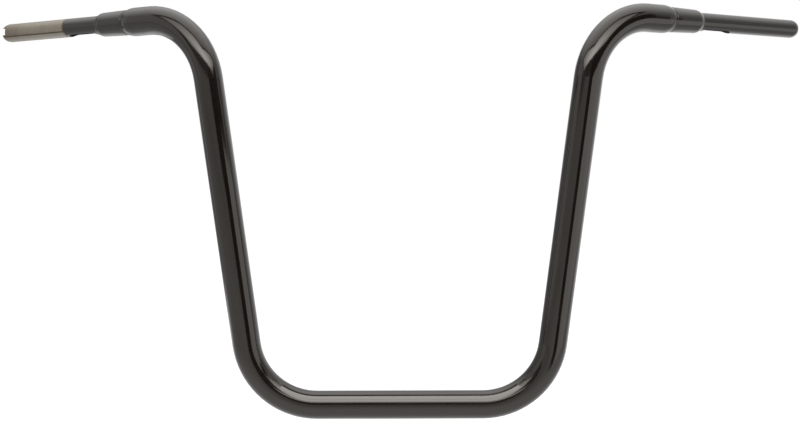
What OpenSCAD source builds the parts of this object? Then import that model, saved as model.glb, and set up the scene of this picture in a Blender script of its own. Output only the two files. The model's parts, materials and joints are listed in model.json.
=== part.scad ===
// Ape hanger handlebar: one fat bent tube whose two ends step down, through a turned sleeve,
// to the thinner tubes that carry the grips and controls.
// The origin is on the axis of the base tube, midway along it, where the bike clamps it.
// +X points to the rider's left (clutch side), +Y back towards the rider, and +Z up the
// plane that holds the base tube and both risers.

/* [Main tube] */
// Outside diameter of the main tube
bar_od = 38.1; // [34:0.1:42]
// Wall thickness of the main tube
bar_wall = 3.05; // [2.9:0.05:4]
// Centreline radius of the two lower bends
lower_bend_r = 94; // [75:1:120]
// Centreline radius of the two upper bends
upper_bend_r = 87; // [75:1:120]
// Straight length of the base tube between the lower bends
base_len = 221.5; // [140:1:320]
// Straight length of each riser between its two bends
riser_len = 356; // [150:1:480]
// Outward lean of each riser from the vertical
riser_splay = 7.2; // [2:0.1:15]
// Angle of each upper bend
upper_turn = 86.6; // [70:0.1:100]
// Twist of the upper bends out of the risers' plane, back towards the rider
twist = 30; // [10:0.1:45]
// Straight tail from an upper bend to the end of the main tube
tail_len = 38; // [35:1:80]
// Length over which the end of the main tube is rounded in
bar_nose_len = 13; // [8:1:20]
// How far that rounding comes in, measured on the radius
bar_nose_drop = 2.4; // [1.6:0.1:2.5]

/* [Reducer sleeves] */
// Largest outside diameter of the sleeve
sleeve_od = 33.8; // [33.4:0.1:36]
// Length of sleeve that shows between the main tube and the control tube's weld
sleeve_len = 50; // [40:1:80]
// Length of the spigot that sits inside the main tube
spigot_len = 25; // [15:1:35]
// Length of the parallel land next to the main tube
sleeve_land = 10; // [6:1:15]
// Length over which the outer end of the sleeve is rounded in
sleeve_nose_len = 9; // [6:1:18]
// Radius that the sleeve loses along the taper between land and rounding
sleeve_taper = 0.8; // [0.2:0.1:1.2]
// Height of the sleeve's end face above the control tube
sleeve_step = 0.9; // [0.5:0.1:1.4]

/* [Control tubes] */
// Outside diameter of the control tubes
control_od = 25.4; // [22.2:0.1:26]
// Wall thickness of the control tubes
control_wall = 3.05; // [2.5:0.05:3.5]
// Length of control tube that shows beyond the sleeve
control_len = 176; // [150:1:210]
// Length of control tube held inside the sleeve
control_insert = 40; // [20:1:60]
// How much that hidden length is turned down, measured on the radius
insert_step = 0.3; // [0.2:0.05:0.5]
// Length over which the tip is rounded in
tip_len = 8; // [4:0.5:12]
// How far the tip's rounding comes in, measured on the radius
tip_drop = 2; // [0.8:0.1:2.3]

/* [Wiring slots] */
// Length of the wiring slot under each control tube
slot_len = 51.5; // [20:0.5:60]
// Width of that slot
slot_w = 15.5; // [8:0.5:16]
// Distance from the weld's outer edge to the slot
slot_start = 1.5; // [1:0.5:20]
// Length of the wiring exit under the middle of the base tube
exit_len = 40; // [20:1:60]
// Width of the wiring exit
exit_w = 14; // [8:0.5:16]

/* [Throttle sensor notch] */
// Width of the notch in the tip of the throttle side tube
notch_w = 9.5; // [6:0.5:14]
// Depth of the notch along the tube
notch_depth = 7; // [4:0.5:15]
// Turn of the notch upwards from straight ahead
notch_turn = 10; // [-30:1:30]

/* [Welds and fits] */
// Length of the weld bead between main tube and sleeve
root_weld_len = 2.8; // [2:0.1:4]
// Hollow of that bead below its two edges
root_weld_dip = 0.45; // [0.2:0.05:0.5]
// Length of the fillet weld between sleeve and control tube
tip_weld_len = 2.6; // [2:0.1:4]
// Clearance on the radius where one tube slides into another
slip = 0.1; // [0.05:0.05:0.2]

/* [Hidden] */
$fn = 96;

// How far a cutting tool runs past the face that it cuts
over = 1;
// A straight stretch runs this far into each bend, and the bend is drawn this much fuller on
// the radius, so that their surfaces meet at a clean edge and never lie on each other
lap = 0.5;
lap_step = 0.02;
bar_r = bar_od / 2;
bore_r = bar_r - bar_wall;
control_r = control_od / 2;
control_bore_r = control_r - control_wall;
sleeve_r = sleeve_od / 2;
// The control tube is turned down a little where the sleeve and the weld hold it
insert_r = control_r - insert_step;
sleeve_bore_r = insert_r + slip;
spigot_r = bore_r - slip;
sleeve_nose_r = control_r + sleeve_step;
// Radius of the main tube's lip, which the sleeve's shoulder edge matches
lip_r = bar_r - bar_nose_drop;
// Where the control tube starts and ends, counted from the end of the main tube
control_start = sleeve_len - control_insert;
control_end = sleeve_len + control_len;
// Where its full diameter starts, past the weld
seat_start = sleeve_len + tip_weld_len;
slot_mid = seat_start + slot_start + slot_len / 2;

// Angle of each lower bend
lower_turn = 90 - riser_splay;
// Roll about a control end's own axis that brings local +X to its underside
arm_roll = atan2(-sin(twist) * sin(riser_splay),
                 cos(twist) * cos(upper_turn) * sin(riser_splay)
                 + sin(upper_turn) * cos(riser_splay));

// Radius of the arc that is tangent to a tube and moves by `rise` over `run`
function tangent_r(rise, run) = (rise * rise + run * run) / (2 * rise);

// Half profile of a rounded end: radius r at y = 0, coming in by drop over len
module nose_profile(r, drop, len) {
    intersection() {
        square([r, len]);
        translate([r - tangent_r(drop, len), 0]) circle(r = tangent_r(drop, len), $fn = 360);
    }
}

// Places its children at the foot of the clutch side riser, with +Z along the riser
module at_riser() {
    translate([base_len / 2, 0, lower_bend_r]) rotate([0, -lower_turn, 0])
        translate([0, 0, -lower_bend_r]) rotate([0, 90, 0]) children();
}

// Places its children at the top of the riser, with +X towards the inside of the upper bend
module at_riser_top() {
    at_riser() translate([0, 0, riser_len]) rotate([0, 0, twist]) children();
}

// Places its children at the end of the upper bend, with +Z outwards
module at_arm() {
    at_riser_top() translate([upper_bend_r, 0, 0]) rotate([0, upper_turn, 0])
        translate([-upper_bend_r, 0, 0]) children();
}

// Places its children at the end face of the main tube: +Z outwards, +X down, +Y to the rider
module at_bar_end() {
    at_arm() rotate([0, 0, arm_roll]) translate([0, 0, tail_len]) children();
}

module throttle_side() {
    mirror([1, 0, 0]) children();
}

// A rod of radius r bent to centreline radius bend_r, about the Y axis: it starts at the
// origin heading along +Z and curls towards +X. Its facets start at angle `first`, counted
// from the outside of the bend, so that they line up with those of the straights
module bend(r, bend_r, turn, first = 0) {
    translate([bend_r, 0, 0]) rotate([-90, 0, 0]) rotate([0, 0, 180])
        rotate_extrude(angle = turn)
            translate([bend_r, 0]) rotate(first) circle(r = r + lap_step);
}

// A straight rod of radius r along +Z, lapped into whatever meets both its ends
module straight(r, len) {
    translate([0, 0, -lap]) cylinder(r = r, h = len + 2 * lap);
}

// A rod of radius r along the whole path of one side, from mid base tube to the tail's start
module bent_side(r) {
    rotate([0, 90, 0]) straight(r, base_len / 2);
    translate([base_len / 2, 0, 0]) rotate([0, 90, 0]) rotate([0, 0, 180])
        bend(r, lower_bend_r, lower_turn);
    at_riser() straight(r, riser_len);
    at_riser_top() bend(r, upper_bend_r, upper_turn, 180 + twist);
}

// The straight tail outside, with its rounded nose
module tail() {
    at_arm() rotate([0, 0, -twist]) {
        translate([0, 0, -lap]) cylinder(r = bar_r, h = lap + tail_len - bar_nose_len);
        translate([0, 0, tail_len - bar_nose_len])
            rotate_extrude() nose_profile(bar_r, bar_nose_drop, bar_nose_len);
    }
}

// One side of the bar as a solid rod, and the bore that runs through it
module side_rod() {
    bent_side(bar_r);
    tail();
}

module side_bore() {
    bent_side(bore_r);
    at_arm() rotate([0, 0, -twist]) straight(bore_r, tail_len + over);
}

// An oblong cutter along local Z, from the axis out through the wall on the +X side
module oblong_cutter(len, width, reach) {
    for (end = [-1, 1])
        translate([0, 0, end * (len - width) / 2]) rotate([0, 90, 0])
            cylinder(d = width, h = reach);
    translate([0, -width / 2, -(len - width) / 2]) cube([reach, width, len - width]);
}

module main_bar() {
    color("#17171a") difference() {
        union() {
            side_rod();
            throttle_side() side_rod();
        }
        side_bore();
        throttle_side() side_bore();
        rotate([0, 90, 0]) oblong_cutter(exit_len, exit_w, bar_od);
    }
}

// The turned sleeve: spigot, shoulder, land, taper and rounded nose
module sleeve() {
    taper_end = sleeve_len - sleeve_nose_len;
    difference() {
        rotate_extrude() {
            translate([0, -spigot_len]) square([spigot_r, spigot_len + sleeve_land]);
            polygon([[0, root_weld_len], [lip_r, root_weld_len],
                     [sleeve_r, root_weld_len + sleeve_r - lip_r], [sleeve_r, sleeve_land],
                     [sleeve_r - sleeve_taper, taper_end], [0, taper_end]]);
            translate([0, taper_end])
                nose_profile(sleeve_r - sleeve_taper,
                             sleeve_r - sleeve_taper - sleeve_nose_r, sleeve_nose_len);
        }
        translate([0, 0, -spigot_len - over])
            cylinder(r = sleeve_bore_r, h = spigot_len + sleeve_len + 2 * over);
    }
}

module throttle_side_sleeve() {
    color("#1a1a1d") throttle_side() at_bar_end() sleeve();
}

module clutch_side_sleeve() {
    color("#1a1a1d") at_bar_end() sleeve();
}

// A control tube with its turned insert, its rounded tip and the wiring slot underneath
module control_tube() {
    difference() {
        union() {
            translate([0, 0, control_start])
                cylinder(r = insert_r, h = seat_start - control_start + over);
            translate([0, 0, seat_start])
                cylinder(r = control_r, h = control_end - tip_len - seat_start);
            translate([0, 0, control_end - tip_len])
                rotate_extrude() nose_profile(control_r, tip_drop, tip_len);
        }
        translate([0, 0, control_start - over])
            cylinder(r = control_bore_r, h = control_end - control_start + 2 * over);
        translate([0, 0, slot_mid]) oblong_cutter(slot_len, slot_w, control_od);
    }
}

// The notch opens forwards, and notch_turn rolls it up from there
module notch_cutter() {
    rotate([0, 0, -90 - notch_turn]) translate([0, -notch_w / 2, control_end - notch_depth])
        cube([control_od, notch_w, notch_depth + over]);
}

module throttle_side_control_tube() {
    color("#7d776c") throttle_side() at_bar_end() difference() {
        control_tube();
        notch_cutter();
    }
}

module clutch_side_control_tube() {
    color("#1d1d20") at_bar_end() control_tube();
}

// Bead in the groove between the main tube's lip and the sleeve's shoulder
module root_weld() {
    dip_r = tangent_r(root_weld_dip, root_weld_len / 2);
    rotate_extrude() difference() {
        translate([spigot_r, 0]) square([lip_r - spigot_r, root_weld_len]);
        translate([lip_r - root_weld_dip + dip_r, root_weld_len / 2]) circle(r = dip_r);
    }
}

module throttle_side_root_weld() {
    color("#222226") throttle_side() at_bar_end() root_weld();
}

module clutch_side_root_weld() {
    color("#222226") at_bar_end() root_weld();
}

// Hollow fillet from the sleeve's end face down to the full diameter of the control tube
module tip_weld() {
    fillet_r = tangent_r(sleeve_step, tip_weld_len);
    translate([0, 0, sleeve_len]) rotate_extrude() difference() {
        translate([insert_r, 0]) square([sleeve_nose_r - insert_r, tip_weld_len]);
        translate([control_r + fillet_r, tip_weld_len]) circle(r = fillet_r);
    }
}

module throttle_side_tip_weld() {
    color("#222226") throttle_side() at_bar_end() tip_weld();
}

module clutch_side_tip_weld() {
    color("#222226") at_bar_end() tip_weld();
}

main_bar();
throttle_side_sleeve();
clutch_side_sleeve();
throttle_side_control_tube();
clutch_side_control_tube();
throttle_side_root_weld();
clutch_side_root_weld();
throttle_side_tip_weld();
clutch_side_tip_weld();
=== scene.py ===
"""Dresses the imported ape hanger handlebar: gloss black paint, one bare control end,
rippled weld beads, and a plain white studio with the photograph's viewing angle."""

import json
import math

import bmesh
import bpy
from bpy.props import FloatProperty, FloatVectorProperty, IntProperty, PointerProperty
from mathutils import Matrix, Vector


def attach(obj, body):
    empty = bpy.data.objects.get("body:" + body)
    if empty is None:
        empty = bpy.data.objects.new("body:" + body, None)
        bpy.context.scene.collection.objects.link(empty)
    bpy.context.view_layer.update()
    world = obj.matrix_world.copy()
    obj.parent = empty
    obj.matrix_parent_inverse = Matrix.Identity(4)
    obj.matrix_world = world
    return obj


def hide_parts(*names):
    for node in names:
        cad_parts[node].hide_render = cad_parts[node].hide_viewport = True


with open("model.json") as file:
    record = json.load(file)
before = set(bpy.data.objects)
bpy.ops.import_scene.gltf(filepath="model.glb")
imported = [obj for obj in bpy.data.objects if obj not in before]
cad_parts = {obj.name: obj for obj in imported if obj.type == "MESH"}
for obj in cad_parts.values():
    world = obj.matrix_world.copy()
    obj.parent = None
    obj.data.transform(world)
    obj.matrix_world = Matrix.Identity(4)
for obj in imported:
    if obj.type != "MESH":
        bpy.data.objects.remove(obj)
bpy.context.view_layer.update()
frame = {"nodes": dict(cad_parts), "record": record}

bl_info = {
    "name": "Ape hanger handlebar",
    "version": (1, 0, 0),
    "blender": (4, 5, 0),
    "location": "View3D > Sidebar > Handlebar",
    "description": "Paint, bare steel, weld beads and studio for a swept back ape hanger bar",
    "category": "Object",
}

SIDES = ("throttle", "clutch")
MOUNTS = {m["name"]: m for m in frame["record"]["mounts"]}

# Measures that the bar's source holds too, in metres
LIP_R = 0.01665          # main tube's lip and the sleeve's shoulder edge
SLEEVE_NOSE_R = 0.0136   # sleeve's end face
CONTROL_R = 0.0127       # control tube
TIP_ROUNDING = 0.008     # length of the rounding at each tip
SEAT_START = 0.0526      # from the main tube's end to the full control tube
SLEEVE_LEN = 0.05        # from the main tube's end to the sleeve's end face
ROOT_BEAD_LEN = 0.0028
TIP_BEAD_LEN = 0.0026

# Weld beads: how deep each reaches under its surface, and how far its face bows inwards
ROOT_BEAD_DEPTH = 0.0012
TIP_BEAD_DEPTH = 0.00025
ROOT_BEAD_DIP = -0.0003
TIP_BEAD_DIP = 0.0002
BEAD_SECTION_POINTS = 25
MERGE_DISTANCE = 0.000004

# A radius inside the control tubes' wall: their outside lies beyond it, their bore within
IN_WALL_R = 0.0105
# Bare length of a tube that is painted all over, with the coat's edge just past its tip
ALL_PAINTED = -0.0002

# The coat's gloss: weaker and a little warmer than that of clear glass
COAT_IOR = 1.45
COAT_TINT = (1.0, 0.95, 0.89, 1)
COAT_BLOTCH = (0.0105, 0.0085, 0.0065, 1)
COAT_DUST = (0.05, 0.046, 0.04, 1)
# Height of the coat's masked edge above the steel, in peel heights
COAT_STEP = 12.0
# Lighter steel that paints reflections of bright surroundings in bands beside the seam line
STEEL_PAINTED_REFLECTION = (0.2, 0.2, 0.19, 1)
STEEL_INSIDE = (0.05, 0.042, 0.034, 1)
GRAIN_HEIGHT = 0.000004

# Patterns of the coat and of the steel, in waves a metre
BLOTCHES = 14.0
DUST_SPECKS = 900.0
STEEL_CLOUDS = 60.0
RINGS_ROUND = 60.0
STREAKS_ALONG = 9.0
STREAKS_ROUND = 420.0
EDGE_WAVES = 70.0

# The masked edge: how far it wanders, and half its width
EDGE_WANDER = 0.0006
EDGE_SOFT = 0.0002
# The brown film: where it starts and is full, before the edge, and its reach from the tip
EDGE_FILM = (-0.0035, -0.001)
TIP_FILM_LEN = 0.06

# A control tube's seam line, partly a painted reflection of a dark strip, lies this far down from
# the side that faces the photograph's camera
CAMERA_WAY = Vector((0, -1, 0.1))
SEAM_AND_REFLECTION_TURN = math.radians(30)
SEAM_AND_REFLECTION_WIDTH = 0.13

# Studio, in metres and in strengths of plain white
BAR_MIDDLE = Vector((0, 0, 0.25))
FLOOR_HALF = 9.0
FLOOR_COLOUR = (0.8, 0.8, 0.8, 1)
FLOOR_SEEN = 0.55
SKY_FILL = 0.62
LAMP_SPOT = Vector((0.0, -2.0, 2.4))
LAMP_SIZE = (2.4, 1.8)
LAMP_POWER = 45
# Heights of the softbox, of the dark rim over it and of the cards by the base tube, and
# half the length of the latter
BOX_Z = 0.97
RIM_Z = 0.98
BASE_Z = 0.05
BASE_HALF = 0.14


def grip_seat(side):
    """Middle of one control tube's seat, its direction outwards and its length."""
    mount = MOUNTS[side + "_grip_seat"]
    return (Vector(mount["pos_m"]), Vector(mount["axis"]).normalized(),
            mount["dims"]["length_mm"] / 1000)


def tube_end(side):
    """Middle of the main tube's end face on one side."""
    middle, outwards, length = grip_seat(side)
    return middle - outwards * (length / 2 + SEAT_START)


def seam_and_reflection_ways(side):
    """The way from a control tube's axis to its seam line, partly a painted reflection of a dark
    strip, and the way round from there, down.
    """
    _, outwards, _ = grip_seat(side)
    front = (CAMERA_WAY - outwards * CAMERA_WAY.dot(outwards)).normalized()
    down = outwards.cross(front)
    down = down if down.z < 0 else -down
    return (front * math.cos(SEAM_AND_REFLECTION_TURN) + down * math.sin(SEAM_AND_REFLECTION_TURN),
            down * math.cos(SEAM_AND_REFLECTION_TURN) - front * math.sin(SEAM_AND_REFLECTION_TURN))


def tube_tip(side):
    """Middle of one control tube's tip."""
    middle, outwards, length = grip_seat(side)
    return middle + outwards * (length / 2 + TIP_ROUNDING)


class PaintLook(bpy.types.PropertyGroup):
    colour: FloatVectorProperty(
        name="Paint colour", description="Colour of the gloss powder coat",
        subtype="COLOR", size=3, min=0, max=1, default=(0.0062, 0.0046, 0.0032))
    roughness: FloatProperty(
        name="Roughness", description="Roughness of the clean, even coat",
        subtype="FACTOR", min=0.02, max=1, default=0.1)
    peel_size: FloatProperty(
        name="Peel size", description="Distance between the soft waves of the coat",
        subtype="DISTANCE", unit="LENGTH", min=0.0005, max=0.02, default=0.0032)
    peel_height: FloatProperty(
        name="Peel height", description="Height of the soft waves of the coat",
        subtype="DISTANCE", unit="LENGTH", min=0, max=0.0001, precision=7, default=0.0000035)


class SteelLook(bpy.types.PropertyGroup):
    bare_length: FloatProperty(
        name="Bare length", description="Length of bare steel, from the tip to the paint's edge",
        subtype="DISTANCE", unit="LENGTH", min=0.01, max=0.16, default=0.118)
    colour: FloatVectorProperty(
        name="Steel colour", description="Colour of the brushed bare steel",
        subtype="COLOR", size=3, min=0, max=1, default=(0.172, 0.155, 0.129))
    # The tint also colours the seam line, which is partly a painted reflection of a dark strip
    tint: FloatVectorProperty(
        name="Brown tint", description="Colour of the brown film by paint, tip and seam",
        subtype="COLOR", size=3, min=0, max=1, default=(0.07, 0.05, 0.031))
    roughness: FloatProperty(
        name="Roughness", description="Roughness of the brushed steel",
        subtype="FACTOR", min=0.05, max=1, default=0.42)
    turning_pitch: FloatProperty(
        name="Turning pitch", description="Distance between the fine rings left by polishing",
        subtype="DISTANCE", unit="LENGTH", min=0.0002, max=0.01, default=0.0011)


class WeldLook(bpy.types.PropertyGroup):
    ripple_length: FloatProperty(
        name="Ripple length", description="Distance between two ripples of a bead",
        subtype="DISTANCE", unit="LENGTH", min=0.0008, max=0.006, default=0.0019)
    ripple_height: FloatProperty(
        name="Ripple height", description="Height of the ripples of a bead",
        subtype="DISTANCE", unit="LENGTH", min=0, max=0.0005, precision=5, default=0.000018)
    steps: IntProperty(
        name="Steps a ripple", description="Mesh steps along one ripple",
        min=4, max=16, default=8)


class StudioLook(bpy.types.PropertyGroup):
    camera_at: FloatVectorProperty(
        name="Camera", description="Where the camera stands", subtype="XYZ", unit="LENGTH",
        size=3, default=(0.02116, -1.90069, 0.45124))
    pitch: FloatProperty(
        name="Pitch", description="How far the camera looks down",
        subtype="ANGLE", unit="ROTATION", default=math.radians(5.737))
    roll: FloatProperty(
        name="Roll", description="Roll of the camera about its view direction",
        subtype="ANGLE", unit="ROTATION", default=math.radians(-0.300))
    yaw: FloatProperty(
        name="Yaw", description="Turn of the camera about the vertical",
        subtype="ANGLE", unit="ROTATION", default=math.radians(-0.594))
    lens: FloatProperty(
        name="Lens", description="Focal length on a sensor 36 mm wide",
        subtype="DISTANCE_CAMERA", unit="CAMERA", min=20, max=300, default=65.12)
    floor_drop: FloatProperty(
        name="Floor drop", description="Distance from the base tube's axis down to the floor",
        subtype="DISTANCE", unit="LENGTH", min=0.02, max=3, default=0.3)
    box_level: FloatProperty(
        name="Softbox level", description="Brightness of the large softbox in reflections",
        min=0, max=20, default=9.0)


class Nodes:
    """Short cuts that add nodes to one tree and link them."""

    def __init__(self, tree):
        self.tree = tree

    def add(self, kind, **sets):
        node = self.tree.nodes.new(kind)
        for name, value in sets.items():
            setattr(node, name, value)
        return node

    def wire(self, value, socket):
        """Links a socket, or sets a plain value."""
        if isinstance(value, bpy.types.NodeSocket):
            self.tree.links.new(value, socket)
        elif value is not None:
            socket.default_value = value

    def math(self, how, *values, clamp=False):
        node = self.add("ShaderNodeMath", operation=how, use_clamp=clamp)
        for value, socket in zip(values, node.inputs):
            self.wire(value, socket)
        return node.outputs[0]

    def vector(self, how, *values, out=0):
        node = self.add("ShaderNodeVectorMath", operation=how)
        for value, socket in zip(values, node.inputs):
            self.wire(value, socket)
        return node.outputs[out]

    def scale(self, value, by):
        node = self.add("ShaderNodeVectorMath", operation="SCALE")
        self.wire(value, node.inputs[0])
        self.wire(by, node.inputs["Scale"])
        return node.outputs[0]

    def combine(self, x=0.0, y=0.0, z=0.0):
        node = self.add("ShaderNodeCombineXYZ")
        for value, socket in zip((x, y, z), node.inputs):
            self.wire(value, socket)
        return node.outputs[0]

    def split(self, value):
        node = self.add("ShaderNodeSeparateXYZ")
        self.wire(value, node.inputs[0])
        return node.outputs

    def here(self):
        return self.add("ShaderNodeTexCoord").outputs["Object"]

    def ramp(self, value, low, high, to_low=0.0, to_high=1.0, how="SMOOTHSTEP"):
        """Goes from to_low to to_high while value goes from low to high."""
        node = self.add("ShaderNodeMapRange", interpolation_type=how)
        for given, socket in zip((value, low, high, to_low, to_high), node.inputs):
            self.wire(given, socket)
        return node.outputs[0]

    def mix(self, share, a, b):
        node = self.add("ShaderNodeMix", data_type="RGBA")
        self.wire(share, node.inputs[0])
        self.wire(a, node.inputs[6])
        self.wire(b, node.inputs[7])
        return node.outputs[2]

    def blend(self, share, a, b):
        node = self.add("ShaderNodeMix", data_type="FLOAT")
        self.wire(share, node.inputs[0])
        self.wire(a, node.inputs[2])
        self.wire(b, node.inputs[3])
        return node.outputs[0]

    def noise(self, where, scale, detail=2.0, roughness=0.5):
        node = self.add("ShaderNodeTexNoise")
        self.wire(where, node.inputs["Vector"])
        self.wire(scale, node.inputs["Scale"])
        self.wire(detail, node.inputs["Detail"])
        self.wire(roughness, node.inputs["Roughness"])
        return node.outputs[0]

    def group(self, tree, **values):
        node = self.add("ShaderNodeGroup")
        node.node_tree = tree
        for name, value in values.items():
            self.wire(value, node.inputs[name.replace("_", " ")])
        return node


def new_tree(name, kind, ins, outs):
    """An empty node tree with named sockets, as (name, kind, default) and (name, kind), the
    helper for its nodes, and the sockets inside it."""
    tree = bpy.data.node_groups.new(name, kind)
    for label, socket_kind, default in ins:
        socket = tree.interface.new_socket(label, in_out="INPUT", socket_type=socket_kind)
        if default is not None:
            socket.default_value = default
    for label, socket_kind in outs:
        tree.interface.new_socket(label, in_out="OUTPUT", socket_type=socket_kind)
    nodes = Nodes(tree)
    return tree, nodes, nodes.add("NodeGroupInput").outputs, nodes.add("NodeGroupOutput").inputs


def along_tube_group():
    """Distance along a straight tube from a point on its axis, and the way out from that
    axis with its length."""
    tree, n, given, gives = new_tree(
        "along_tube", "ShaderNodeTree",
        [("Start", "NodeSocketVector", (0, 0, 0)), ("Direction", "NodeSocketVector", (0, 0, 1))],
        [("Distance", "NodeSocketFloat"), ("Radius", "NodeSocketFloat"),
         ("Across", "NodeSocketVector")])
    offset = n.vector("SUBTRACT", n.here(), given["Start"])
    distance = n.vector("DOT_PRODUCT", offset, given["Direction"], out=1)
    across = n.vector("SUBTRACT", offset, n.scale(given["Direction"], distance))
    n.wire(distance, gives["Distance"])
    n.wire(n.vector("LENGTH", across, out=1), gives["Radius"])
    n.wire(across, gives["Across"])
    return tree


def coat_group():
    """Soft waves, faint blotches and dust specks of a powder coat."""
    tree, n, given, gives = new_tree(
        "powder_coat", "ShaderNodeTree",
        [("Colour", "NodeSocketColor", (0.01, 0.01, 0.01, 1)),
         ("Roughness", "NodeSocketFloat", 0.1), ("Peel Size", "NodeSocketFloat", 0.003)],
        [("Colour", "NodeSocketColor"), ("Roughness", "NodeSocketFloat"),
         ("Height", "NodeSocketFloat")])
    here = n.here()
    waves = n.noise(here, n.math("DIVIDE", 1.0, given["Peel Size"]), 2.0, 0.45)
    blotch = n.noise(here, BLOTCHES, 3.0, 0.6)
    dust = n.ramp(n.noise(here, DUST_SPECKS, 1.0, 0.5), 0.7, 0.8)
    lighter = n.mix(n.ramp(blotch, 0.35, 0.7, 0.0, 0.35), given["Colour"], COAT_BLOTCH)
    n.wire(n.mix(n.math("MULTIPLY", dust, 0.2), lighter, COAT_DUST), gives["Colour"])
    rough = n.math("ADD", given["Roughness"], n.ramp(blotch, 0.3, 0.75, -0.02, 0.05))
    n.wire(n.math("ADD", rough, n.math("MULTIPLY", dust, 0.12)), gives["Roughness"])
    n.wire(waves, gives["Height"])
    return tree


def brushed_steel_group():
    """Bare steel polished round the tube: fine rings, faint lengthwise streaks and stains."""
    tree, n, given, gives = new_tree(
        "brushed_steel", "ShaderNodeTree",
        [("Distance", "NodeSocketFloat", 0), ("Across", "NodeSocketVector", (0, 0, 0)),
         ("Pitch", "NodeSocketFloat", 0.001), ("Colour", "NodeSocketColor", (0.2, 0.2, 0.2, 1)),
         ("Tint", "NodeSocketColor", (0.1, 0.08, 0.05, 1)), ("Stain", "NodeSocketFloat", 0),
         ("Roughness", "NodeSocketFloat", 0.4)],
        [("Colour", "NodeSocketColor"), ("Roughness", "NodeSocketFloat"),
         ("Height", "NodeSocketFloat")])
    # Rings: the pattern changes quickly along the tube and slowly round it
    along = n.combine(n.math("DIVIDE", given["Distance"], given["Pitch"]))
    rings = n.noise(n.vector("ADD", along, n.scale(given["Across"], RINGS_ROUND)),
                    1.0, 4.0, 0.6)
    # Streaks: slowly along the tube and quickly round it
    along = n.combine(n.math("MULTIPLY", given["Distance"], STREAKS_ALONG))
    streaks = n.noise(n.vector("ADD", along, n.scale(given["Across"], STREAKS_ROUND)),
                      1.0, 2.0, 0.5)
    worn = n.math("ADD", n.ramp(rings, 0.3, 0.7, -0.09, 0.09),
                  n.ramp(streaks, 0.3, 0.7, -0.06, 0.06))
    bright = n.scale(given["Colour"], n.math("ADD", 1.0, worn))
    cloud = n.noise(n.here(), STEEL_CLOUDS, 4.0, 0.6)
    stain_and_painted_line = n.math("ADD", given["Stain"], n.ramp(cloud, 0.48, 0.75, 0.0, 0.2), clamp=True)
    n.wire(n.mix(stain_and_painted_line, bright, given["Tint"]), gives["Colour"])
    n.wire(n.math("ADD", given["Roughness"], n.ramp(rings, 0.25, 0.75, -0.06, 0.1)),
           gives["Roughness"])
    n.wire(rings, gives["Height"])
    return tree


def seam_and_reflection_group():
    """Where a straight tube's lengthwise seam line runs, partly a painted reflection of a dark
    strip, and the bands beside it that are lighter steel as painted reflections of bright
    surroundings.
    """
    tree, n, given, gives = new_tree(
        "tube_seam_and_painted_reflections", "ShaderNodeTree",
        [("Across", "NodeSocketVector", (0, 0, 0)), ("Seam", "NodeSocketVector", (0, 0, 1)),
         ("Beside", "NodeSocketVector", (1, 0, 0)), ("Width", "NodeSocketFloat", 0.1)],
        [("Line", "NodeSocketFloat"), ("Painted Reflection", "NodeSocketFloat")])
    way = n.vector("NORMALIZE", given["Across"])
    on_seam = n.vector("DOT_PRODUCT", way, given["Seam"], out=1)
    beside = n.vector("DOT_PRODUCT", way, given["Beside"], out=1)
    near = n.ramp(n.math("ABSOLUTE", beside), given["Width"],
                  n.math("MULTIPLY", given["Width"], 0.4))
    n.wire(n.math("MULTIPLY", near, n.math("GREATER_THAN", on_seam, 0.0)), gives["Line"])
    # Painted reflections of the bright floor below and of bright light above, as lighter steel
    # below the seam line and on a narrow strip a quarter turn above it
    n.wire(n.math("MAXIMUM", n.ramp(beside, 0.03, 0.12), n.ramp(beside, -0.93, -0.99)),
           gives["Painted Reflection"])
    return tree


def new_surface(name):
    """An empty material, the helper for its nodes, and its output's surface socket."""
    material = bpy.data.materials.new(name)
    material.use_nodes = True
    material.node_tree.nodes.clear()
    n = Nodes(material.node_tree)
    return material, n, n.add("ShaderNodeOutputMaterial").inputs["Surface"]


def new_material(name):
    """A material with an empty Principled shader, its node helper and the shader's sockets."""
    material, n, surface = new_surface(name)
    shader = n.add("ShaderNodeBsdfPrincipled")
    n.wire(shader.outputs[0], surface)
    return material, n, shader.inputs


def shared_group(name, build):
    return bpy.data.node_groups.get(name) or build()


def rgba(colour):
    return (*colour, 1.0)


def coat_nodes(n, look, shader):
    """Adds the powder coat's group, and gives the shader the coat's gloss."""
    shader["IOR"].default_value = COAT_IOR
    shader["Specular Tint"].default_value = COAT_TINT
    return n.group(shared_group("powder_coat", coat_group), Colour=rgba(look.colour),
                   Roughness=look.roughness, Peel_Size=look.peel_size).outputs


def bump(n, height, distance, normal=None):
    """The normal of a surface that is raised by height times distance."""
    node = n.add("ShaderNodeBump")
    n.wire(height, node.inputs["Height"])
    n.wire(distance, node.inputs["Distance"])
    n.wire(normal, node.inputs["Normal"])
    return node.outputs[0]


def paint_material():
    """Gloss black powder coat, made once and shared by the painted pieces."""
    found = bpy.data.materials.get("gloss_black_coat")
    if found:
        return found
    look = bpy.context.scene.bar_paint_look
    material, n, shader = new_material("gloss_black_coat")
    coat = coat_nodes(n, look, shader)
    n.wire(coat["Colour"], shader["Base Color"])
    n.wire(coat["Roughness"], shader["Roughness"])
    n.wire(bump(n, coat["Height"], look.peel_height), shader["Normal"])
    return material


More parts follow.
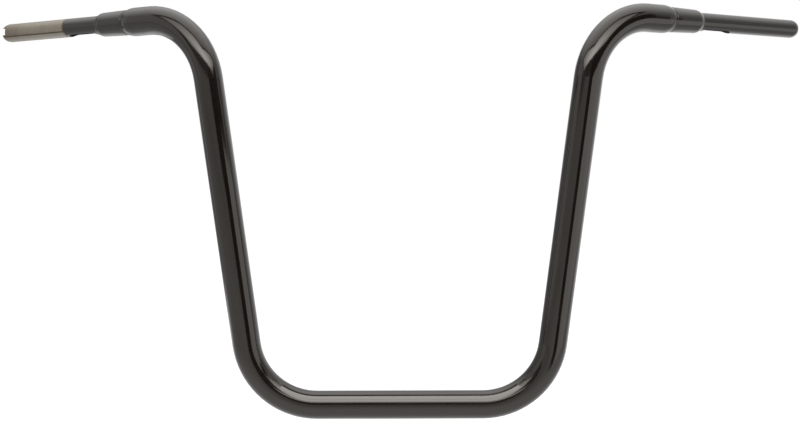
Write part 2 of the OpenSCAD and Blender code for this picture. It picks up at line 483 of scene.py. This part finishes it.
def control_material(side, bare_length):
    """Painted control tube. Its inside is bare steel, and so is its outside over bare_length
    from its tip."""
    paint = bpy.context.scene.bar_paint_look
    steel = bpy.context.scene.bar_steel_look
    material, n, shader = new_material(side + "_control_finish")
    _, outwards, _ = grip_seat(side)
    where = n.group(shared_group("along_tube", along_tube_group),
                    Start=tube_tip(side), Direction=-outwards)
    inwards, radius, across = (where.outputs[k] for k in ("Distance", "Radius", "Across"))
    coat = coat_nodes(n, paint, shader)
    # The masked edge wanders a little round the tube
    wander = n.ramp(n.noise(n.here(), EDGE_WAVES, 2.0, 0.5), 0.3, 0.7,
                    -EDGE_WANDER, EDGE_WANDER, "LINEAR")
    edge = n.math("ADD", n.math("SUBTRACT", inwards, bare_length), wander)
    painted = n.math("MULTIPLY", n.ramp(edge, -EDGE_SOFT, EDGE_SOFT),
                     n.math("GREATER_THAN", radius, IN_WALL_R))
    bare = n.math("SUBTRACT", 1.0, painted)
    # Brown film next to the paint and towards the tip, and a brown line along the tube's welded
    # seam that is partly a painted reflection of a dark strip
    by_paint = n.ramp(edge, *EDGE_FILM)
    by_tip = n.ramp(inwards, TIP_FILM_LEN, 0.0, 0.0, 0.42)
    seam, beside = seam_and_reflection_ways(side)
    seam_and_reflection_marks = n.group(shared_group("tube_seam_and_painted_reflections", seam_and_reflection_group), Across=across, Seam=seam,
                    Beside=beside, Width=SEAM_AND_REFLECTION_WIDTH)
    by_seam_and_painted_line = n.math("MULTIPLY", seam_and_reflection_marks.outputs["Line"], 0.95)
    stain_and_painted_line = n.math("MAXIMUM", n.math("MAXIMUM", by_paint, by_tip), by_seam_and_painted_line)
    brushed = n.group(shared_group("brushed_steel", brushed_steel_group), Distance=inwards,
                      Across=across, Pitch=steel.turning_pitch, Colour=rgba(steel.colour),
                      Tint=rgba(steel.tint), Stain=stain_and_painted_line, Roughness=steel.roughness).outputs
    # Painted reflections: lighter steel in bands below the seam line and above it
    with_painted_reflection = n.mix(n.math("MULTIPLY", seam_and_reflection_marks.outputs["Painted Reflection"], 0.45), brushed["Colour"],
                    STEEL_PAINTED_REFLECTION)
    inside = n.math("LESS_THAN", radius, IN_WALL_R)
    dulled = n.mix(n.math("MULTIPLY", inside, 0.8), with_painted_reflection, STEEL_INSIDE)
    n.wire(n.mix(painted, dulled, coat["Colour"]), shader["Base Color"])
    n.wire(n.blend(painted, brushed["Roughness"], coat["Roughness"]), shader["Roughness"])
    n.wire(bare, shader["Metallic"])
    raised = n.math("ADD", n.math("MULTIPLY", painted, coat["Height"]),
                    n.math("MULTIPLY", painted, COAT_STEP))
    grain = n.math("MULTIPLY", bare, brushed["Height"])
    n.wire(bump(n, grain, GRAIN_HEIGHT, bump(n, raised, paint.peel_height)), shader["Normal"])
    return material


def dress(name, material):
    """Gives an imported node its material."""
    node = frame["nodes"][name]
    node.data.materials.clear()
    node.data.materials.append(material)


def bead_tree():
    """A weld bead round a tube. A grid is rolled into a ring: one side runs round the tube,
    the other round the bead's section, from Start Radius to End Radius. Its face bows inwards
    by Dip, or outwards where Dip is negative, and carries crescent ripples."""
    tree, n, given, gives = new_tree("weld_bead", "GeometryNodeTree", [
        ("Start Radius", "NodeSocketFloat", 0.0166), ("End Radius", "NodeSocketFloat", 0.0166),
        ("Root Radius", "NodeSocketFloat", 0.016), ("Length", "NodeSocketFloat", 0.0028),
        ("Dip", "NodeSocketFloat", 0.0004), ("Ripples", "NodeSocketInt", 54),
        ("Ripple Height", "NodeSocketFloat", 0.0001), ("Steps", "NodeSocketInt", 8),
        ("Place", "NodeSocketVector", (0, 0, 0)), ("Turn", "NodeSocketRotation", None),
        ("Material", "NodeSocketMaterial", None)], [("Geometry", "NodeSocketGeometry")])
    grid = n.add("GeometryNodeMeshGrid")
    n.wire(1.0, grid.inputs["Size X"])
    n.wire(1.0, grid.inputs["Size Y"])
    around = n.math("ADD", n.math("MULTIPLY", given["Ripples"], given["Steps"]), 1.0)
    n.wire(around, grid.inputs["Vertices X"])
    n.wire(BEAD_SECTION_POINTS, grid.inputs["Vertices Y"])
    on_grid = n.split(n.add("GeometryNodeInputPosition").outputs[0])
    turn = n.math("MULTIPLY", n.math("ADD", on_grid[0], 0.5), math.tau)
    share = n.math("ADD", on_grid[1], 0.5)
    # The first five sixths of the grid's width make the outer face, the rest the hidden root
    face = n.math("MINIMUM", n.math("MULTIPLY", share, 1.2), 1.0)
    back = n.math("MAXIMUM", n.math("SUBTRACT", n.math("MULTIPLY", share, 6.0), 5.0), 0.0)
    along = n.math("MULTIPLY", n.math("SUBTRACT", face, back), given["Length"])
    on_root = n.math("GREATER_THAN", back, 0.001)
    straight = n.blend(face, given["Start Radius"], given["End Radius"])
    bow = n.math("MULTIPLY", 4.0, n.math("MULTIPLY", face, n.math("SUBTRACT", 1.0, face)))
    bowed = n.math("SUBTRACT", straight, n.math("MULTIPLY", bow, given["Dip"]))
    # Each ripple is a crescent: its middle lags behind its two edges
    phase = n.math("ADD", n.math("MULTIPLY", turn, given["Ripples"]), n.math("MULTIPLY", bow, 2.2))
    saw = n.math("POWER", n.math("MULTIPLY_ADD", n.math("SINE", phase), 0.5, 0.5), 1.6)
    ripple = n.math("MULTIPLY", n.math("MULTIPLY", saw, bow), given["Ripple Height"])
    outer = n.math("ADD", bowed, ripple)
    # The hidden root drops quickly to its radius, and ends where the face began
    pull = n.math("MULTIPLY", back, n.math("SUBTRACT", 1.0, back))
    sunk = n.blend(n.ramp(pull, 0.0, 0.12, 0.0, 1.0, "LINEAR"), straight, given["Root Radius"])
    root = n.blend(n.math("GREATER_THAN", back, 0.999), sunk, given["Start Radius"])
    radius = n.blend(on_root, outer, root)
    spot = n.combine(n.math("MULTIPLY", radius, n.math("COSINE", turn)),
                     n.math("MULTIPLY", radius, n.math("SINE", turn)), along)
    shape = grid.outputs["Mesh"]
    for kind, values in (
            ("GeometryNodeSetPosition", {"Position": spot}),
            ("GeometryNodeMergeByDistance", {"Distance": MERGE_DISTANCE}),
            ("GeometryNodeTransform", {"Translation": given["Place"], "Rotation": given["Turn"]}),
            ("GeometryNodeSetShadeSmooth", {}),
            ("GeometryNodeRealizeInstances", {}),
            ("GeometryNodeSetMaterial", {"Material": given["Material"]})):
        step = n.add(kind)
        n.wire(shape, step.inputs["Geometry"])
        for label, value in values.items():
            n.wire(value, step.inputs[label])
        shape = step.outputs[0]
    n.wire(shape, gives["Geometry"])
    return tree


def place(name, data):
    """Links a new object to the scene."""
    item = bpy.data.objects.new(name, data)
    bpy.context.scene.collection.objects.link(item)
    return item


def grow(name, tree, values):
    """Runs a geometry node tree and keeps its result as a plain mesh object."""
    maker = place(name + "_maker", bpy.data.meshes.new(name + "_maker"))
    modifier = maker.modifiers.new("Grow", "NODES")
    modifier.node_group = tree
    sockets = {s.name: s.identifier for s in tree.interface.items_tree
               if s.item_type == "SOCKET" and s.in_out == "INPUT"}
    for label, value in values.items():
        modifier[sockets[label]] = value
    bpy.context.view_layer.update()
    ready = maker.evaluated_get(bpy.context.evaluated_depsgraph_get())
    mesh = bpy.data.meshes.new_from_object(ready)
    bpy.data.objects.remove(maker)
    mesh.name = name
    if not mesh.polygons:
        raise RuntimeError("the geometry nodes made nothing for " + name)
    return place(name, mesh)


def face_out(piece):
    """Turns every face outwards."""
    shape = bmesh.new()
    shape.from_mesh(piece.data)
    bmesh.ops.recalc_face_normals(shape, faces=shape.faces)
    shape.to_mesh(piece.data)
    shape.free()


class HANDLEBAR_OT_painted_tubes(bpy.types.Operator):
    """Gloss black coat on the bent main tube, both sleeves and the clutch side control tube"""
    bl_idname = "handlebar.painted_tubes"
    bl_label = "Painted tubes"

    def execute(self, context):
        coat = paint_material()
        for name in ("main_bar", "throttle_side_sleeve", "clutch_side_sleeve"):
            dress(name, coat)
        dress("clutch_side_control_tube", control_material("clutch", ALL_PAINTED))
        return {"FINISHED"}


class HANDLEBAR_OT_bare_control_tube(bpy.types.Operator):
    """Throttle side control tube: painted next to the sleeve, masked bare steel outside"""
    bl_idname = "handlebar.bare_control_tube"
    bl_label = "Bare control tube"

    def execute(self, context):
        bare = context.scene.bar_steel_look.bare_length
        dress("throttle_side_control_tube", control_material("throttle", bare))
        return {"FINISHED"}


class HANDLEBAR_OT_weld_beads(bpy.types.Operator):
    """Rippled beads: crowned ones by the main tube, hollow ones by the control tubes"""
    bl_idname = "handlebar.weld_beads"
    bl_label = "Weld beads"

    def execute(self, context):
        look = context.scene.bar_weld_look
        tree = bead_tree()
        coat = paint_material()
        for side in SIDES:
            _, outwards, _ = grip_seat(side)
            turn = outwards.to_track_quat("Z", "Y").to_euler()
            beads = (
                ("root", 0.0, LIP_R, LIP_R, ROOT_BEAD_DEPTH, ROOT_BEAD_LEN, ROOT_BEAD_DIP),
                ("tip", SLEEVE_LEN, SLEEVE_NOSE_R, CONTROL_R, TIP_BEAD_DEPTH, TIP_BEAD_LEN,
                 TIP_BEAD_DIP))
            for kind, offset, start_r, end_r, depth, length, dip in beads:
                piece = grow(f"{side}_side_{kind}_bead", tree, {
                    "Start Radius": start_r, "End Radius": end_r, "Root Radius": end_r - depth,
                    "Length": length, "Dip": dip,
                    "Ripples": round(math.tau * start_r / look.ripple_length),
                    "Ripple Height": look.ripple_height, "Steps": look.steps,
                    "Place": tube_end(side) + outwards * offset, "Turn": turn,
                    "Material": coat})
                face_out(piece)
                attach(piece, "root")
                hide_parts(f"{side}_side_{kind}_weld")
        return {"FINISHED"}


def light_card(name, points, faces, level, far_level=None, centre=(0, 0, 0), reach=(1, 1, 1),
               one_sided=False):
    """A card that shows in reflections only. Its brightness goes from level at its centre to
    far_level at a distance of reach along X, Y and Z. A one sided card shows from below only."""
    mesh = bpy.data.meshes.new(name)
    mesh.from_pydata([tuple(p) for p in points], [], faces)
    card = place(name, mesh)
    material, n, surface = new_surface(name)
    glow = n.add("ShaderNodeEmission")
    share = n.vector("DIVIDE", n.vector("SUBTRACT", n.here(), centre), reach)
    n.wire(n.ramp(n.vector("LENGTH", share, out=1), 0.0, 1.0, level,
                  level if far_level is None else far_level), glow.inputs["Strength"])
    if one_sided:
        both = n.add("ShaderNodeMixShader")
        n.wire(n.add("ShaderNodeNewGeometry").outputs["Backfacing"], both.inputs[0])
        n.wire(n.add("ShaderNodeBsdfTransparent").outputs[0], both.inputs[1])
        n.wire(glow.outputs[0], both.inputs[2])
        n.wire(both.outputs[0], surface)
    else:
        n.wire(glow.outputs[0], surface)
    mesh.materials.append(material)
    card.visible_camera = False
    card.visible_diffuse = False
    card.visible_shadow = False
    card.visible_transmission = False


def sky_patch(name, radius, az, el, level, columns=24, rows=12):
    """A card on a sphere round the bar: az counts from the camera's side towards image right,
    el upwards, both in degrees."""
    points, faces = [], []
    for j in range(rows + 1):
        up = math.radians(el[0] + (el[1] - el[0]) * j / rows)
        for i in range(columns + 1):
            turn = math.radians(az[0] + (az[1] - az[0]) * i / columns)
            points.append(BAR_MIDDLE + radius * Vector((
                math.sin(turn) * math.cos(up), -math.cos(turn) * math.cos(up), math.sin(up))))
    for j in range(rows):
        for i in range(columns):
            a = j * (columns + 1) + i
            faces.append((a, a + 1, a + columns + 2, a + columns + 1))
    light_card(name, points, faces, level)


def upright_card(name, start, end, foot, heads, *light):
    """An upright card over the floor line from start to end, whose head may slope."""
    points = [(*start, foot), (*end, foot), (*end, heads[1]), (*start, heads[0])]
    light_card(name, points, [(0, 1, 2, 3)], *light)


def flat_card(name, front, back, height, *light, one_sided=False):
    """A level card, the same on both sides: its front and back edges run through the points
    given as X and Y from the middle outwards."""
    outline = [*[(-x, y) for x, y in reversed(front) if x > 0], *front,
               *reversed(back), *[(-x, y) for x, y in back if x > 0]]
    light_card(name, [(x, y, height) for x, y in outline], [tuple(range(len(outline)))], *light,
               one_sided=one_sided)


def base_card(name, y, level):
    """A low card over the base tube, between two values of Y, that shows from below only."""
    flat_card(name, *[((0, edge), (BASE_HALF, edge)) for edge in y], BASE_Z, level,
              one_sided=True)


def stage_camera(look):
    """The photograph's camera."""
    # Rows of this matrix are the camera's right, view and up directions
    axes = (Matrix.Rotation(look.roll, 3, "Y") @ Matrix.Rotation(look.pitch, 3, "X")
            @ Matrix.Rotation(look.yaw, 3, "Z"))
    camera = place("studio_camera", bpy.data.cameras.new("studio_camera"))
    camera.matrix_world = Matrix((*[
        (right, up, -view, at) for right, view, up, at in zip(*axes, look.camera_at)],
        (0, 0, 0, 1)))
    camera.data.sensor_width = 36
    camera.data.lens = look.lens
    camera.data.clip_end = 100
    bpy.context.scene.camera = camera


def seen_share(n, path):
    """1 for rays that show the surroundings themselves, 0 for those that light the bar."""
    return n.math("MAXIMUM", path["Is Camera Ray"],
                  n.math("MAXIMUM", path["Is Glossy Ray"], path["Is Transmission Ray"]))


def stage_world():
    """White surroundings, dimmer for the light that falls on the bar."""
    world = bpy.data.worlds.new("studio_world")
    world.use_nodes = True
    world.node_tree.nodes.clear()
    n = Nodes(world.node_tree)
    seen = seen_share(n, n.add("ShaderNodeLightPath").outputs)
    sky = n.add("ShaderNodeBackground")
    n.wire(n.blend(seen, SKY_FILL, 1.0), sky.inputs["Strength"])
    n.wire((1, 1, 1, 1), sky.inputs["Color"])
    n.wire(sky.outputs[0], n.add("ShaderNodeOutputWorld").inputs["Surface"])
    bpy.context.scene.world = world


def stage_floor(low):
    """Pale floor that glows. Its reflection is a little dimmer under the bar, brighter well
    behind it, and fades outwards."""
    mesh = bpy.data.meshes.new("studio_floor")
    corners = ((-1, -1), (1, -1), (1, 1), (-1, 1))
    mesh.from_pydata([(x * FLOOR_HALF, y * FLOOR_HALF, low) for x, y in corners], [],
                     [(0, 1, 2, 3)])
    floor = place("studio_floor", mesh)
    material, n, surface = new_surface("studio_floor")
    path = n.add("ShaderNodeLightPath").outputs
    matt = n.add("ShaderNodeBsdfDiffuse")
    n.wire(FLOOR_COLOUR, matt.inputs["Color"])
    here = n.here()
    y = n.split(here)[1]
    behind = n.math("ADD", n.ramp(y, -0.3, 0.0, 1.0, 0.8), n.ramp(y, 0.5, 0.62, 0.0, 1.2))
    away = n.ramp(n.vector("LENGTH", here, out=1), 0.5, 1.6, 1.0, 0.5)
    reflected = n.math("MULTIPLY", seen_share(n, path), n.math("MULTIPLY", behind, away))
    glow = n.add("ShaderNodeEmission")
    n.wire(n.blend(path["Is Camera Ray"], reflected, FLOOR_SEEN), glow.inputs["Strength"])
    both = n.add("ShaderNodeAddShader")
    n.wire(matt.outputs[0], both.inputs[0])
    n.wire(glow.outputs[0], both.inputs[1])
    n.wire(both.outputs[0], surface)
    mesh.materials.append(material)


def stage_cards(level, low):
    """Softboxes, dark cards and walls that shape the reflections in the coat."""
    flat_card("softbox", ((0, -1.3), (0.7, -1.3), (1.5, -1.5)),
              ((0, -0.57), (0.2, -0.43), (0.45, -0.25), (0.8, -0.2)),
              BOX_Z, level, 0.3 * level, (0, -1.0, BOX_Z), (1.4, 0.95, 1.2))
    flat_card("softbox_rim", ((0, -1.4), (0.7, -1.4), (1.6, -1.6)),
              ((0, -0.48), (0.2, -0.34), (0.45, -0.16), (0.9, -0.11)), RIM_Z, 0.2)
    # The base tube's share of the softbox hangs low, out of sight of the risers
    base_card("base_box", (-0.0398, -0.0155), level)
    base_card("base_lip", (-0.0888, -0.0707), 0.6 * level)
    base_card("base_rim", (-0.0155, -0.004), 0.7)
    flat_card("ceiling", ((0, -2.3), (5, -2.3)), ((0, 3.2), (5, 3.2)), 2.6, 3.4, 1.2,
              (0, 0.3, 2.6), (5, 3.2, 4))
    sky_patch("dark_rim", 3.9, (-55, 6), (7, 24), 0.25)
    sky_patch("dark_wedge", 3.5, (6, 74), (-1, 26), 0.06)
    sky_patch("left_shade", 6.0, (-110, -20), (-14, -3.5), 0.85)
    sky_patch("left_wall", 6.0, (-104, -55), (-3.5, 30), 1.3)
    sky_patch("back_left", 2.0, (-160, -104), (-15, 30), 0.55)
    sky_patch("back_right", 5.0, (108, 160), (-30, 30), 1.5)
    upright_card("dark_stand", (0.37, -1.84), (0.62, -0.77), low, (0.6, 0.6), 0.04)
    upright_card("right_wall", (0.62, -0.77), (2.3, 0.15), low, (0.42, 0.47), 2.15, 1.9,
                 (0.62, -0.77, 0), (2.2, 2.2, 4))


def stage_lamp():
    """Soft lamp over the camera. It shows in no reflection."""
    light = bpy.data.lights.new("front_lamp", "AREA")
    light.shape = "RECTANGLE"
    light.size, light.size_y = LAMP_SIZE
    light.energy = LAMP_POWER
    lamp = place("front_lamp", light)
    lamp.visible_glossy = False
    lamp.location = LAMP_SPOT
    lamp.rotation_euler = (BAR_MIDDLE - LAMP_SPOT).to_track_quat("-Z", "Y").to_euler()


class HANDLEBAR_OT_studio(bpy.types.Operator):
    """Camera, white surroundings, pale floor, softboxes and a soft lamp"""
    bl_idname = "handlebar.studio"
    bl_label = "Studio"

    def execute(self, context):
        look = context.scene.bar_studio_look
        context.scene.view_settings.view_transform = "Standard"
        low = -look.floor_drop
        stage_camera(look)
        stage_world()
        stage_floor(low)
        stage_cards(look.box_level, low)
        stage_lamp()
        return {"FINISHED"}


class HANDLEBAR_PT_panel(bpy.types.Panel):
    """Lists the steps that dress the handlebar, and the values they use"""
    bl_idname = "HANDLEBAR_PT_panel"
    bl_label = "Handlebar"
    bl_space_type = "VIEW_3D"
    bl_region_type = "UI"
    bl_category = "Handlebar"

    def draw(self, context):
        layout = self.layout
        for step in STEPS:
            layout.operator(step.bl_idname)
        for look in LOOKS:
            values = getattr(context.scene, look)
            box = layout.box()
            for name in values.bl_rna.properties.keys():
                if name not in ("rna_type", "name"):
                    box.prop(values, name)


LOOKS = {"bar_paint_look": PaintLook, "bar_steel_look": SteelLook, "bar_weld_look": WeldLook,
         "bar_studio_look": StudioLook}
STEPS = (HANDLEBAR_OT_painted_tubes, HANDLEBAR_OT_bare_control_tube, HANDLEBAR_OT_weld_beads,
         HANDLEBAR_OT_studio)


def register():
    for kind in (*LOOKS.values(), *STEPS, HANDLEBAR_PT_panel):
        bpy.utils.register_class(kind)
    for name, kind in LOOKS.items():
        setattr(bpy.types.Scene, name, PointerProperty(type=kind))


def unregister():
    for name in LOOKS:
        delattr(bpy.types.Scene, name)
    for kind in reversed((*LOOKS.values(), *STEPS, HANDLEBAR_PT_panel)):
        bpy.utils.unregister_class(kind)


def main():
    """Dresses the bar step by step."""
    register()
    bpy.ops.handlebar.painted_tubes()
    bpy.ops.handlebar.bare_control_tube()
    bpy.ops.handlebar.weld_beads()
    bpy.ops.handlebar.studio()


if __name__ == "__main__":
    main()
